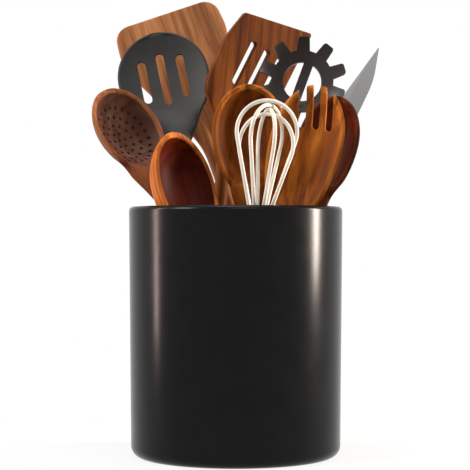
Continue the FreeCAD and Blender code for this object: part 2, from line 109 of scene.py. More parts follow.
# Lamps: place, the point that each one faces, width, height, watts and colour
LAMPS = {
    "side_lamp_right": ((1.15, 0.05, 0.37), (0, 0, 0.2), 0.15, 0.50, 30.0, (1.0, 0.86, 0.76)),
    "side_lamp_left": ((-1.15, 0.03, 0.40), (0, 0, 0.15), 0.06, 0.90, 10.0, (1.0, 0.76, 0.70)),
    "key_lamp": ((-1.10, -0.55, 1.05), (0, 0, 0.24), 0.50, 0.50, 16.0, (1.0, 0.98, 0.95)),
    "front_lamp": ((0.25, -1.5, 1.40), (0, 0, 0.24), 0.8, 0.8, 7.0, (1.0, 0.985, 0.97)),
    "top_lamp": ((0.0, -0.05, 1.6), (0, 0, 0.25), 0.6, 0.6, 8.0, (0.96, 0.98, 1.0)),
}
FLOOR_REACH = 6
WORLD_LIGHT = 0.20


def linear(red, green, blue):
    """A colour as seen on a screen, 0 to 255, in the linear values that shaders take."""
    shares = (red / 255, green / 255, blue / 255)
    return tuple(c / 12.92 if c < 0.04045 else ((c + 0.055) / 1.055) ** 2.4 for c in shares)


def length_prop(label, text, value):
    return FloatProperty(name=label, description=text, default=value, min=0.0, unit="LENGTH", precision=4)


def colour_prop(label, text, value):
    return FloatVectorProperty(name=label, description=text, default=value, subtype="COLOR",
                               size=3, min=0.0, max=1.0)


def spoon_group(class_name, length, bowl_length, widest, width, back, lip, wall, neck_length=0.046):
    """A property group with the sizes of one spoon."""
    fields = {
        "length": length_prop("Length", "From the foot of the handle to the tip of the bowl", length),
        "bowl_length": length_prop("Bowl length", "Length of the bowl", bowl_length),
        "widest": FloatProperty(
            name="Widest place", description="Share of the bowl's length from its tip to its widest place",
            default=widest, min=0.1, max=0.9, subtype="FACTOR"),
        "width": length_prop("Width", "Width of the bowl", width),
        "back": length_prop("Back", "How far the back of the bowl stands behind its lip", back),
        "lip": length_prop("Lip", "Width of the flat lip", lip),
        "wall": length_prop("Wall", "Thickness of the bowl at its deepest place", wall),
        "neck_length": length_prop("Neck", "Length of the neck below the bowl", neck_length),
    }
    return type(class_name, (bpy.types.PropertyGroup,), {"__annotations__": fields})


CrockLadleSizes = spoon_group("CrockLadleSizes", 0.228, 0.084, 0.46, 0.061, 0.023, 0.0038, 0.0036)
CrockServingSizes = spoon_group("CrockServingSizes", 0.2545, 0.078, 0.43, 0.053, 0.013, 0.0034, 0.0032)
CrockMixingSizes = spoon_group("CrockMixingSizes", 0.2545, 0.078, 0.43, 0.044, 0.012, 0.0032, 0.0032)
CrockForkSizes = spoon_group("CrockForkSizes", 0.261, 0.100, 0.40, 0.052, 0.012, 0.0034, 0.0032)
CrockSkimmerSizes = spoon_group("CrockSkimmerSizes", 0.292, 0.070, 0.46, 0.058, 0.019, 0.0036, 0.0034)
CrockSlottedSizes = spoon_group("CrockSlottedSizes", 0.319, 0.080, 0.45, 0.068, 0.010, 0.0024, 0.0028, 0.024)


class CrockBodySizes(bpy.types.PropertyGroup):
    """Sizes of the crock itself."""

    height: length_prop("Height", "From the table to the rim", RIM)
    top_radius: length_prop("Top radius", "Outside radius at the rim", TOP_RADIUS)
    base_radius: length_prop("Base radius", "Outside radius at the foot", 0.0738)
    wall: length_prop("Wall", "Thickness of the wall", WALL)
    floor: length_prop("Floor", "Thickness of the floor", FLOOR)
    rim_round: length_prop("Rim rounding", "Radius of the rim's edges", 0.0032)
    base_round: length_prop("Base rounding", "Radius of the lower edge, inside and outside", 0.008)


class CrockOpeningSizes(bpy.types.PropertyGroup):
    """Slots and holes in the spoons."""

    fork_slot: length_prop("Fork slot width", "Width of the gaps between the tines", 0.0054)
    fork_slot_length: length_prop("Fork slot length", "Depth of the gaps from the tip", 0.031)
    fork_pitch: length_prop("Fork slot pitch", "From one gap to the next", 0.0098)
    fork_lean: FloatProperty(name="Fork slot lean", description="Lean of the gaps in degrees", default=8.0)
    fork_shift: length_prop("Fork slot shift", "How far the gaps stand to the right of the middle", 0.0015)
    spoon_slot: length_prop("Spoon slot width", "Width of the silicone spoon's slots", 0.006)
    spoon_slot_length: length_prop("Spoon slot length", "Length of the silicone spoon's slots", 0.034)
    spoon_middle_extra: length_prop("Middle slot extra", "How much longer the middle slot is", 0.008)
    spoon_pitch: length_prop("Spoon slot pitch", "From one slot to the next", 0.0145)
    hole_radius: length_prop("Hole radius", "Radius of the skimmer's holes", 0.0012)
    hole_step: length_prop("Hole row step", "From one ring of holes to the next", 0.0049)
    hole_rows: IntProperty(name="Hole rows", description="Rings of holes, the middle one included",
                           default=5, min=1)


class CrockWhiskSizes(bpy.types.PropertyGroup):
    """Sizes of the whisk's wires."""

    base: length_prop("Wire base", "Height of the collar's top above the whisk's foot", 0.154)
    wire_radius: length_prop("Wire radius", "Half the thickness of a coated wire", 0.00135)
    circle: length_prop("Wire circle", "Radius of the circle of bores in the collar", 0.0051)
    depth: length_prop("Wire depth", "How far a wire goes into the collar", 0.007)
    bend: length_prop("Wire bend", "Radius of the bend above the collar", 0.014)
    balloon_radius: length_prop("Balloon radius", "Radius of the loop at its top", 0.021)
    balloon_height: length_prop("Balloon height", "Height of the loop's centre above the collar", 0.064)
    step: length_prop("Loop step", "How much lower each next loop is", 0.0030)
    loops: IntProperty(name="Loops", description="Number of wire loops", default=4, min=1)


class CrockColours(bpy.types.PropertyGroup):
    """Colours of the finishes."""

    glaze: colour_prop("Glaze", "Black glaze of the crock", (0.0022, 0.0022, 0.0023))
    tan: colour_prop("Tan wood", "Pale wood of the flat turner", linear(176, 117, 74))
    chestnut: colour_prop("Chestnut wood", "Brown wood of the slotted turner", linear(118, 63, 20))
    amber: colour_prop("Amber wood", "Amber wood of the serving and fork spoons", linear(166, 92, 30))
    russet: colour_prop("Russet wood", "Red-brown wood of the ladle", linear(200, 110, 46))
    copper: colour_prop("Copper wood", "Brown wood of the skimmer's outside", linear(156, 94, 58))
    cocoa: colour_prop("Cocoa wood", "Dark wood of the mixing spoon", linear(88, 37, 11))
    slate: colour_prop("Slate silicone", "Grey silicone of the slotted spoon", linear(54, 54, 53))
    charcoal: colour_prop("Charcoal nylon", "Dark nylon of the pasta server", linear(62, 59, 58))
    cream: colour_prop("Cream silicone", "Pale silicone on the whisk's wires", linear(222, 217, 205))
    steel: colour_prop("Steel", "Brushed steel of the knife", (0.19, 0.19, 0.188))
    handle: colour_prop("Knife handle", "Black plastic of the knife's handle", (0.014, 0.014, 0.015))


class CrockSettings(bpy.types.PropertyGroup):
    """All sizes and colours of the set."""

    body: PointerProperty(type=CrockBodySizes)
    ladle: PointerProperty(type=CrockLadleSizes)
    serving_spoon: PointerProperty(type=CrockServingSizes)
    mixing_spoon: PointerProperty(type=CrockMixingSizes)
    fork_spoon: PointerProperty(type=CrockForkSizes)
    skimmer: PointerProperty(type=CrockSkimmerSizes)
    slotted_spoon: PointerProperty(type=CrockSlottedSizes)
    openings: PointerProperty(type=CrockOpeningSizes)
    whisk: PointerProperty(type=CrockWhiskSizes)
    colours: PointerProperty(type=CrockColours)


def standing(name):
    """The matrix that stands a utensil, foot at the origin and axis up, in its place in the crock."""
    rim, foot, turn = POSES[name]
    low = Vector((foot[0] * INNER, foot[1] * INNER, FLOOR))
    high = Vector((rim[0] * INNER, rim[1] * INNER, RIM))
    axis = (high - low).normalized()
    tilt = axis.angle(Vector((0, 0, 1)))
    rounding = WHISK_FOOT_ROUND if name == "whisk" else FOOT_ROUND
    drop = rounding * (1 - math.cos(tilt)) + (FOOT_RADIUS - rounding) * math.sin(tilt)
    slide = (STAND_GAP + drop) / math.cos(tilt)
    lean = Vector((0, 0, 1)).rotation_difference(axis).to_matrix().to_4x4()
    return Matrix.Translation(low + axis * slide) @ lean @ Matrix.Rotation(math.radians(turn), 4, "Z")


def linked(name, mesh):
    piece = bpy.data.objects.new(name, mesh)
    bpy.context.scene.collection.objects.link(piece)
    return piece


def soften(mesh, degrees):
    """Smooth shading, with edges sharper than this angle kept."""
    mesh.shade_smooth()
    mesh.set_sharp_from_angle(angle=math.radians(degrees))


def points_of(mesh):
    values = np.zeros(len(mesh.vertices) * 3)
    mesh.vertices.foreach_get("co", values)
    return values.reshape(-1, 3)


def write_grain(mesh, place):
    """Keep each point's place in the utensil's own frame, so that the grain runs along it."""
    turn = np.array(place.inverted())
    local = points_of(mesh) @ turn[:3, :3].T + turn[:3, 3]
    layer = mesh.attributes.new("grain", "FLOAT_VECTOR", "POINT")
    layer.data.foreach_set("vector", local.astype(np.float32).ravel())
    return local


def write_hollow(mesh, local, sizes):
    """Mark with 1 the points of a bowl's hollow, where shade is painted, and of its lip, where a highlight
    is painted.
    """
    touching = 1.03
    behind_lip = 0.0004
    lip_depth = 0.0011
    above_neck = 0.006
    centre, across, up, down = hollow_dish(sizes)
    height = local[:, 2] - widest_height(sizes)
    spread = np.hypot(local[:, 0], local[:, 1] - centre) / across
    within = spread**2 + (height / np.where(height > 0, up, down)) ** 2 < touching
    shaded_hollow = within & (local[:, 1] > behind_lip)
    on_bowl = local[:, 2] > sizes.length - sizes.bowl_length + above_neck
    lip = ~shaded_hollow & (np.abs(local[:, 1]) < lip_depth) & on_bowl
    # The hollow mask says where painted shade goes, the lip mask where a painted highlight goes.
    for label, chosen in (("hollow", shaded_hollow), ("lip", lip)):
        layer = mesh.attributes.new(label, "FLOAT", "POINT")
        layer.data.foreach_set("value", chosen.astype(np.float32))


def finish_piece(piece, body, nodes, material):
    """Give the piece its finish, hide the solids that it stands for, and hang it on the body that carries
    it.
    """
    piece.data.materials.clear()
    piece.data.materials.append(material)
    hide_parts(*nodes)
    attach(piece, body)


def merged_copy(node, name, degrees=SMOOTH):
    """A copy of a node with its loose triangles joined and shaded smoothly."""
    work = bmesh.new()
    work.from_mesh(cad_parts[node].data)
    bmesh.ops.remove_doubles(work, verts=work.verts, dist=2e-6)
    bmesh.ops.dissolve_degenerate(work, dist=1e-7, edges=work.edges)
    mesh = bpy.data.meshes.new(name)
    work.to_mesh(mesh)
    work.free()
    soften(mesh, degrees)
    piece = linked(name, mesh)
    modifier = piece.modifiers.new("flat_faces", "WEIGHTED_NORMAL")
    modifier.keep_sharp = True
    return applied(piece, modifier)


def applied(piece, modifier):
    """Give the piece the mesh that its modifier makes of it, and take the modifier off again."""
    graph = bpy.context.evaluated_depsgraph_get()
    mesh = bpy.data.meshes.new_from_object(piece.evaluated_get(graph))
    piece.modifiers.remove(modifier)
    old = piece.data
    piece.data = mesh
    bpy.data.meshes.remove(old)
    return piece


def new_tree(name, inputs):
    """An empty geometry tree with its group input and output, and these named inputs."""
    tree = bpy.data.node_groups.new(name, "GeometryNodeTree")
    tree.interface.new_socket("Geometry", in_out="INPUT", socket_type="NodeSocketGeometry")
    tree.interface.new_socket("Geometry", in_out="OUTPUT", socket_type="NodeSocketGeometry")
    for label, kind in inputs:
        tree.interface.new_socket(label, in_out="INPUT", socket_type=kind)
    return tree, tree.nodes.new("NodeGroupInput"), tree.nodes.new("NodeGroupOutput")


def baked(piece, tree, values):
    """Give the piece the mesh that the tree makes of it with these inputs."""
    modifier = piece.modifiers.new(tree.name, "NODES")
    modifier.node_group = tree
    for item in tree.interface.items_tree:
        if item.in_out == "INPUT" and item.name in values:
            modifier[item.identifier] = values[item.name]
    applied(piece, modifier)


def end_tree(tree, output, socket):
    """Close a tree with real geometry and the finish that is handed in."""
    realize = tree.nodes.new("GeometryNodeRealizeInstances")
    paint = tree.nodes.new("GeometryNodeSetMaterial")
    source = next(node for node in tree.nodes if node.type == "GROUP_INPUT")
    tree.links.new(socket, realize.inputs["Geometry"])
    tree.links.new(realize.outputs["Geometry"], paint.inputs["Geometry"])
    tree.links.new(source.outputs["Finish"], paint.inputs["Material"])
    tree.links.new(paint.outputs["Geometry"], output.inputs[0])


class Shader:
    """A few short words for building a node material."""

    def __init__(self, name):
        self.material = bpy.data.materials.new(name)
        self.material.use_nodes = True
        self.nodes = self.material.node_tree.nodes
        self.links = self.material.node_tree.links
        self.surface = self.nodes["Principled BSDF"]

    def add(self, kind, **inputs):
        node = self.nodes.new(kind)
        for key, value in inputs.items():
            socket = node.inputs[int(key[1:])] if key[0] == "_" else node.inputs[key.replace("_", " ")]
            if isinstance(value, bpy.types.NodeSocket):
                self.links.new(value, socket)
            else:
                socket.default_value = value
        return node

    def attribute(self, name):
        node = self.nodes.new("ShaderNodeAttribute")
        node.attribute_name = name
        return node

    def stretch(self, vector, scale, shift=(0, 0, 0)):
        return self.add("ShaderNodeMapping", Vector=vector, Scale=scale, Location=shift).outputs[0]

    def noise(self, vector, scale, detail=4.0, roughness=0.55, distortion=0.0):
        node = self.add("ShaderNodeTexNoise", Vector=vector, Scale=scale, Detail=detail, Roughness=roughness)
        node.inputs["Distortion"].default_value = distortion
        return node.outputs["Fac"]

    def rings(self, vector, scale, distortion):
        node = self.add("ShaderNodeTexWave", Vector=vector, Scale=scale, Distortion=distortion, Detail=3.0)
        node.wave_type = "RINGS"
        node.rings_direction = "Z"
        node.inputs["Detail Scale"].default_value = 1.2
        return node.outputs["Fac"]

    def ramp(self, factor, stops):
        node = self.add("ShaderNodeValToRGB", Fac=factor)
        band = node.color_ramp
        while len(band.elements) < len(stops):
            band.elements.new(0.5)
        for element, (place, colour) in zip(band.elements, stops):
            element.position = place
            element.color = (*colour, 1.0)
        return node.outputs["Color"]

    def mix(self, factor, first, second, how="MIX"):
        node = self.nodes.new("ShaderNodeMix")
        node.data_type = "RGBA"
        node.blend_type = how
        for index, value in ((0, factor), (6, first), (7, second)):
            if isinstance(value, bpy.types.NodeSocket):
                self.links.new(value, node.inputs[index])
            elif index == 0:
                node.inputs[0].default_value = value
            else:
                node.inputs[index].default_value = (*value, 1.0)
        return node.outputs[2]

    def spread(self, value, low, high):
        node = self.add("ShaderNodeMapRange", Value=value)
        node.inputs["To Min"].default_value = low
        node.inputs["To Max"].default_value = high
        return node.outputs[0]

    def set(self, **inputs):
        for key, value in inputs.items():
            socket = self.surface.inputs[key.replace("_", " ")]
            if isinstance(value, bpy.types.NodeSocket):
                self.links.new(value, socket)
            else:
                socket.default_value = value

    def bump(self, height, strength, distance):
        node = self.add("ShaderNodeBump", Height=height, Strength=strength, Distance=distance)
        self.links.new(node.outputs[0], self.surface.inputs["Normal"])


def shade(colour, factor):
    return tuple(min(1.0, c * factor) for c in colour)


def wood_tones(colour, contrast):
    """The dark and light tones that go with the middle tone of a wood: redder below, yellower above."""
    dark = tuple(c * (1 - k * contrast) for c, k in zip(colour, (0.68, 0.78, 0.84)))
    light = tuple(min(1.0, c * (1 + k * contrast)) for c, k in zip(colour, (0.50, 0.85, 1.25)))
    return dark, light


def oiled_wood(name, colour, seed, swirl=1.0, shaded_hollow=None, contrast=1.0, centre=(0.030, 0.045)):
    """Oiled hardwood, its grain along the utensil: growth rings, broad figure, dark lines and pores; a
    bowl's hollow can take painted shade and its lip a painted highlight.
    """
    wood = Shader(name)
    grain = wood.attribute("grain").outputs["Vector"]
    shift = (seed * 0.37, seed * 0.61, seed * 0.23)
    figure = wood.noise(wood.stretch(grain, (34, 34, 6), shift), 1.0, 4.0, 0.55, swirl)
    lines = wood.noise(wood.stretch(grain, (190, 190, 7), shift), 1.0, 4.0, 0.62, 0.4 * swirl)
    pores = wood.noise(wood.stretch(grain, (1000, 1000, 40), shift), 1.0, 2.0, 0.5)
    rings = wood.rings(wood.stretch(grain, (1, 1, 0.10), (*centre, 0)), 52.0, 3.2 * swirl)
    dark, light = wood_tones(colour, contrast)
    growth = wood.ramp(rings, [(0.05, (0.50, 0.42, 0.36)), (0.40, (0.93, 0.91, 0.89)), (0.9, (1, 1, 1))])
    dark_lines = wood.ramp(lines, [(0.36, (0.45, 0.36, 0.30)), (0.52, (1, 1, 1)), (0.75, (1.0, 0.98, 0.95))])
    dots = wood.ramp(pores, [(0.30, (0.45, 0.40, 0.36)), (0.44, (1, 1, 1))])
    body = wood.ramp(figure, [(0.30, dark), (0.45, shade(colour, 0.80)), (0.55, colour), (0.72, light)])
    # Painted shade: a bowl's hollow takes a darker copy of the wood, from the given hollow colour.
    if shaded_hollow is not None:
        low, high = wood_tones(shaded_hollow, contrast)
        tone = wood.ramp(figure, [(0.28, low), (0.45, shade(shaded_hollow, 0.85)), (0.56, shaded_hollow), (0.75, high)])
        body = wood.mix(wood.attribute("hollow").outputs["Fac"], body, tone)
        # Painted highlight: the lip is lightened towards the wood's light tone.
        body = wood.mix(wood.spread(wood.attribute("lip").outputs["Fac"], 0.0, 0.40), body, light)
    body = wood.mix(0.45 + 0.15 * contrast, body, growth, "MULTIPLY")
    body = wood.mix(0.70, body, dark_lines, "MULTIPLY")
    body = wood.mix(0.50, body, dots, "MULTIPLY")
    wood.set(Base_Color=body, Roughness=wood.spread(lines, 0.40, 0.58))
    wood.set(Specular_IOR_Level=0.08)
    wood.bump(pores, 0.10, 0.0004)
    return wood.material


def black_glaze(colour):
    """Satin black glaze, slightly uneven."""
    glaze = Shader("black_glaze")
    place = glaze.add("ShaderNodeTexCoord").outputs["Object"]
    cloud = glaze.noise(place, 60.0, 3.0)
    speck = glaze.noise(place, 1400.0, 2.0)
    tone = glaze.ramp(cloud, [(0.3, shade(colour, 0.75)), (0.7, shade(colour, 1.35))])
    glaze.set(Base_Color=tone, Roughness=glaze.spread(cloud, 0.18, 0.24))
    glaze.set(Specular_IOR_Level=0.12)
    glaze.bump(speck, 0.03, 0.0002)
    return glaze.material


def moulded(name, colour, roughness, grit=900.0, sheen=0.0):
    """Silicone or nylon with a fine matt skin and faint cloudiness."""
    skin = Shader(name)
    place = skin.add("ShaderNodeTexCoord").outputs["Object"]
    cloud = skin.noise(place, 45.0, 3.0)
    fine = skin.noise(place, grit, 2.0)
    tone = skin.ramp(cloud, [(0.3, shade(colour, 0.88)), (0.7, shade(colour, 1.10))])
    skin.set(Base_Color=tone, Roughness=skin.spread(fine, roughness - 0.05, roughness + 0.08))
    skin.set(Specular_IOR_Level=0.14, Sheen_Weight=sheen)
    skin.bump(fine, 0.06, 0.0002)
    return skin.material


def brushed_steel(colour):
    """Steel brushed across the blade."""
    steel = Shader("brushed_steel")
    grain = steel.attribute("grain").outputs["Vector"]
    strokes = steel.noise(steel.stretch(grain, (60, 60, 2600)), 1.0, 3.0)
    cloud = steel.noise(grain, 70.0, 2.0)
    tone = steel.ramp(strokes, [(0.3, shade(colour, 0.94)), (0.7, shade(colour, 1.05))])
    steel.set(Base_Color=tone, Roughness=steel.spread(cloud, 0.26, 0.40))
    steel.set(Metallic=1.0, Anisotropic=0.4)
    steel.bump(strokes, 0.02, 0.0001)
    return steel.material


def egg(above, below, width, depth):
    """The egg-shaped back of a dish: its centre behind the lip, and its radii across, up and down."""
    across = (width**2 / 4 + depth**2) / (2 * depth)
    stretch = 2 * across / width
    return depth - across, across, above * stretch, below * stretch


def outer_dish(sizes):
    """The egg of a bowl's outside."""
    above = sizes.bowl_length * sizes.widest
    return egg(above, sizes.bowl_length - above, sizes.width, sizes.back)


def hollow_dish(sizes):
    """The egg of a bowl's hollow, which leaves the lip and the wall."""
    above = sizes.bowl_length * sizes.widest
    below = sizes.bowl_length - above - 1.5 * sizes.lip
    return egg(above - sizes.lip, below, sizes.width - 2 * sizes.lip, sizes.back - sizes.wall)


def widest_height(sizes):
    return sizes.length - sizes.bowl_length * sizes.widest


def oval_section(y, z, half_width, half_depth):
    """Points round a handle or neck, in the same order as round a bowl."""
    side = LIP_POINTS * 1.6
    turns = np.concatenate([
        np.linspace(side, 180 - side, BACK_POINTS),
        np.linspace(180 - side, 180 + side, LIP_POINTS + 2)[1:-1],
        np.linspace(180 + side, 360 - side, HOLLOW_POINTS),
        np.linspace(360 - side, 360 + side, LIP_POINTS + 2)[1:-1],
    ])
    turns = np.radians(turns)
    flat = np.column_stack([np.cos(turns) * half_width, y + np.sin(turns) * half_depth])
    return np.column_stack([flat, np.full(len(flat), z)])


def bowl_section(sizes, z):
    """Points round a bowl at one height: its back, one lip, the hollow and the other lip."""
    height = z - widest_height(sizes)
    centre, across, up, down = outer_dish(sizes)
    radius = across * math.sqrt(max(1 - (height / (up if height > 0 else down)) ** 2, 0))
    half = math.sqrt(max(radius**2 - centre**2, 1e-10))
    start = math.atan2(-centre, half)
    turns = np.linspace(start, math.pi - start, BACK_POINTS)
    back = np.column_stack([radius * np.cos(turns), centre + radius * np.sin(turns)])
    in_centre, in_across, in_up, in_down = hollow_dish(sizes)
    in_radius = in_across * math.sqrt(max(1 - (height / (in_up if height > 0 else in_down)) ** 2, 0))
    in_half = math.sqrt(max(in_radius**2 - in_centre**2, 0))
    edge = max(in_half, 0.3 * half)
    spread = -np.cos(np.linspace(0, math.pi, HOLLOW_POINTS)) * edge
    depth = np.sqrt(np.maximum(in_radius**2 - spread**2, 0)) + in_centre
    hollow = np.column_stack([spread, np.where(np.abs(spread) < in_half, np.maximum(depth, 0), 0)])
    share = np.linspace(0, 1, LIP_POINTS + 2)[1:-1]
    crown = -0.16 * (half - edge) * np.sin(share * math.pi)
    left = np.column_stack([-half + share * (half - edge), crown])
    right = np.column_stack([edge + share * (half - edge), crown])
    flat = np.concatenate([back, left, hollow, right])
    return np.column_stack([flat, np.full(len(flat), z)])


def between(first, second, share):
    """A smooth step from one section to the other."""
    share = share * share * (3 - 2 * share)
    return first * (1 - share) + second * share


def neck_sections(sizes, radius):
    """Ovals that widen from a round stem into a bowl: height, half width, half depth, shift."""
    below = sizes.bowl_length * (1 - sizes.widest)
    across = (sizes.width**2 / 4 + sizes.back**2) / (2 * sizes.back)
    bend = across * math.sqrt(1 - ((below - NECK_OVERLAP) * sizes.width / (2 * across * below)) ** 2)
    deep = bend - across + sizes.back
    half_width = NECK_SHARE * math.sqrt(bend**2 - (across - sizes.back) ** 2)
    knots = [-1.0, -0.6, -0.12, NECK_OVERLAP / sizes.neck_length]
    widths = np.polyfit(knots, [radius, radius * 1.15, (radius * 1.15 + half_width) / 2, half_width], 3)
    depths = np.polyfit(knots, [radius, radius, radius * 0.85, deep * 0.38], 3)
    shifts = np.polyfit(knots, [0, deep * 0.08, deep * 0.28, deep * 0.40], 3)
    end = sizes.length - sizes.bowl_length
    sections = []
    for place in np.linspace(-1.0, knots[-1], NECK_STEPS):
        oval = (float(np.polyval(row, place)) for row in (widths, depths, shifts))
        sections.append((end + place * sizes.neck_length, *oval))
    return sections


def spoon_mesh(name, sizes, stem_radius, start=None):
    """A closed spoon skinned over one row of sections, with a whole handle or a stem from start up."""
    end = sizes.length - sizes.bowl_length
    rings = []
    if start is None:
        for turn in np.linspace(0, math.pi / 2, 7):
            radius = FOOT_RADIUS - FOOT_ROUND + FOOT_ROUND * math.sin(turn)
            height = FOOT_ROUND * (1 - math.cos(turn))
            rings.append(oval_section(0, height, radius, radius))
        for share in np.linspace(0, 1, 12)[1:]:
            height = FOOT_ROUND + share * (end - sizes.neck_length - FOOT_ROUND)
            radius = FOOT_RADIUS + (stem_radius - FOOT_RADIUS) * min(1, share * 2)
            rings.append(oval_section(0, height, radius, radius))
    else:
        for height in (start, start + 0.0002, start + 0.0012):
            rings.append(oval_section(0, height, stem_radius, stem_radius))
    necks = neck_sections(sizes, stem_radius)
    for height, wide, deep, shift in necks[1:]:
        oval = oval_section(shift, height, wide, deep)
        if height > end + 0.0002:
            oval = between(oval, bowl_section(sizes, height), (height - end) / NECK_BLEND)
        rings.append(oval)
    last, wide, deep, shift = necks[-1]
    middle = sizes.length - sizes.bowl_length / 2
    lowest = math.asin((last + 0.0006 - middle) / (sizes.bowl_length / 2))
    for turn in np.linspace(lowest, math.radians(89.2), BOWL_ROWS):
        height = middle + math.sin(turn) * sizes.bowl_length / 2
        section = bowl_section(sizes, height)
        if height < end + NECK_BLEND:
            oval = oval_section(shift, height, wide, deep)
            section = between(oval, section, (height - end) / NECK_BLEND)
        rings.append(section)
    count = len(rings[0])
    points = np.concatenate(rings)
    faces = []
    for low in range(0, (len(rings) - 1) * count, count):
        high = low + count
        for column in range(count):
            after = (column + 1) % count
            faces.append((low + column, low + after, high + after, high + column))
    faces.append(tuple(range(count - 1, -1, -1)))
    faces.append(tuple(range((len(rings) - 1) * count, len(rings) * count)))
    mesh = bpy.data.meshes.new(name)
    mesh.from_pydata(points.tolist(), [], faces)
    return mesh


def slot_tool(name, count, pitch, width, length, height, lean=0.0, shift=0.0, middle_extra=0.0):
    """A row of round-ended cutters that pass right through from front to back."""
    reach = 0.05
    work = bmesh.new()
    radius = width / 2
    turns = [math.pi * k / 10 for k in range(11)]
    for index in range(count):
        across = (index - (count - 1) / 2) * pitch
        extra = middle_extra / 2 if 2 * index == count - 1 else 0.0
        outline = [(radius * math.cos(t), length + extra - radius + radius * math.sin(t)) for t in turns]
        outline += [(-radius * math.cos(t), radius - extra - radius * math.sin(t)) for t in turns]
        ring = [work.verts.new((across + x, -reach, z)) for x, z in outline]
        face = work.faces.new(ring)
        grown = bmesh.ops.extrude_face_region(work, geom=[face])
        moved = [item for item in grown["geom"] if isinstance(item, bmesh.types.BMVert)]
        bmesh.ops.translate(work, verts=moved, vec=(0, 2 * reach, 0))
    bmesh.ops.recalc_face_normals(work, faces=work.faces)
    mesh = bpy.data.meshes.new(name)
    work.to_mesh(mesh)
    work.free()
    mesh.transform(Matrix.Translation((shift, 0, height)) @ Matrix.Rotation(math.radians(lean), 4, "Y"))
    return linked(name, mesh)


def hole_tool(name, openings, sizes, finish):
    """Pins in rings, instanced on points, that cut the skimmer's holes."""
    spots = [(0, 0, 0)]
    drawn = sizes.bowl_length / sizes.width
    for row in range(1, openings.hole_rows):
        for index in range(6 * row):
            turn = 2 * math.pi * index / (6 * row)
            reach = row * openings.hole_step
            spots.append((reach * math.cos(turn), 0, reach * math.sin(turn) * drawn))
    mesh = bpy.data.meshes.new(name)
    mesh.from_pydata(spots, [], [])
    piece = linked(name, mesh)
    inputs = [("Hole radius", "NodeSocketFloat"), ("Finish", "NodeSocketMaterial")]
    tree, given, output = new_tree("skimmer_holes", inputs)
    pin = tree.nodes.new("GeometryNodeMeshCylinder")
    pin.inputs["Vertices"].default_value = 14
    pin.inputs["Depth"].default_value = 0.08
    spread = tree.nodes.new("GeometryNodeInstanceOnPoints")
    spread.inputs["Rotation"].default_value = (math.pi / 2, 0, 0)
    tree.links.new(given.outputs["Hole radius"], pin.inputs["Radius"])
    tree.links.new(given.outputs["Geometry"], spread.inputs["Points"])
    tree.links.new(pin.outputs["Mesh"], spread.inputs["Instance"])
    end_tree(tree, output, spread.outputs["Instances"])
    baked(piece, tree, {"Hole radius": openings.hole_radius, "Finish": finish})
    piece.data.transform(Matrix.Translation((0, 0, sizes.length - sizes.bowl_length / 2)))
    return piece


def cut(piece, tool):
    """Take the tool's shape out of the piece."""
    modifier = piece.modifiers.new("cut", "BOOLEAN")
    modifier.operation = "DIFFERENCE"
    modifier.solver = "EXACT"
    modifier.object = tool
    applied(piece, modifier)
    spent = tool.data
    bpy.data.objects.remove(tool)
    bpy.data.meshes.remove(spent)


def stand_spoon(piece, name, sizes):
    """Stand a spoon that was made in its own frame in the crock, and mark its grain and hollow."""
    place = standing(name)
    piece.data.transform(place)
    piece.data.update()
    soften(piece.data, SMOOTH_SPOON)
    write_hollow(piece.data, write_grain(piece.data, place), sizes)


def settings():
    return bpy.context.scene.crock_settings


def rounded(corners, steps=12):
    """The points of an outline whose corners, each x, z and radius, are rounded off."""
    outline = []
    for index, (x, z, radius) in enumerate(corners):
        here = Vector((x, z))
        if radius == 0:
            outline.append(here)
            continue
        back = (Vector(corners[index - 1][:2]) - here).normalized()
        ahead = (Vector(corners[(index + 1) % len(corners)][:2]) - here).normalized()
        half = back.angle(ahead) / 2
        middle = here + (back + ahead).normalized() * radius / math.sin(half)
        first = here + back * radius / math.tan(half) - middle
        turn = first.angle_signed(here + ahead * radius / math.tan(half) - middle)
        for step in range(steps + 1):
            outline.append(middle + Matrix.Rotation(-turn * step / steps, 2) @ first)
    return outline


def chain(name, points):
    """A mesh of edges from each point to the next."""
    mesh = bpy.data.meshes.new(name)
    mesh.from_pydata([tuple(p) for p in points], [(k, k + 1) for k in range(len(points) - 1)], [])
    return mesh


class CROCK_OT_body(bpy.types.Operator):
    """Make the crock by turning its outline about the upright axis"""

    bl_idname = "crock.body"
    bl_label = "Crock"

    def execute(self, context):
        sizes = settings().body
        glaze = black_glaze(settings().colours.glaze)
        inner = sizes.top_radius - sizes.wall
        path_radius = 0.04
        outline = rounded([
            (0, 0, 0),
            (sizes.base_radius, 0, sizes.base_round),
            (sizes.top_radius, sizes.height, sizes.rim_round),
            (inner, sizes.height, sizes.rim_round),
            (sizes.base_radius - sizes.wall, sizes.floor, sizes.base_round),
            (0, sizes.floor, 0),
        ])
        profile = chain("crock_outline", [(p.x - path_radius, -p.y, 0) for p in outline])
        piece = linked("stoneware_crock", profile)
        inputs = [("Sides", "NodeSocketInt"), ("Finish", "NodeSocketMaterial")]
        tree, given, output = new_tree("turned_crock", inputs)
        path = tree.nodes.new("GeometryNodeCurvePrimitiveCircle")
        path.inputs["Radius"].default_value = path_radius
        line = tree.nodes.new("GeometryNodeMeshToCurve")
        sweep = tree.nodes.new("GeometryNodeCurveToMesh")
        tree.links.new(given.outputs["Sides"], path.inputs["Resolution"])
        tree.links.new(given.outputs["Geometry"], line.inputs["Mesh"])
        tree.links.new(path.outputs["Curve"], sweep.inputs["Curve"])
        tree.links.new(line.outputs["Curve"], sweep.inputs["Profile Curve"])
        end_tree(tree, output, sweep.outputs["Mesh"])
        baked(piece, tree, {"Sides": 192, "Finish": glaze})
        work = bmesh.new()
        work.from_mesh(piece.data)
        bmesh.ops.remove_doubles(work, verts=work.verts, dist=1e-6)
        bmesh.ops.recalc_face_normals(work, faces=work.faces)
        work.to_mesh(piece.data)
        work.free()
        soften(piece.data, SMOOTH_CROCK)
        finish_piece(piece, "crock", ["crock"], glaze)
        return {"FINISHED"}


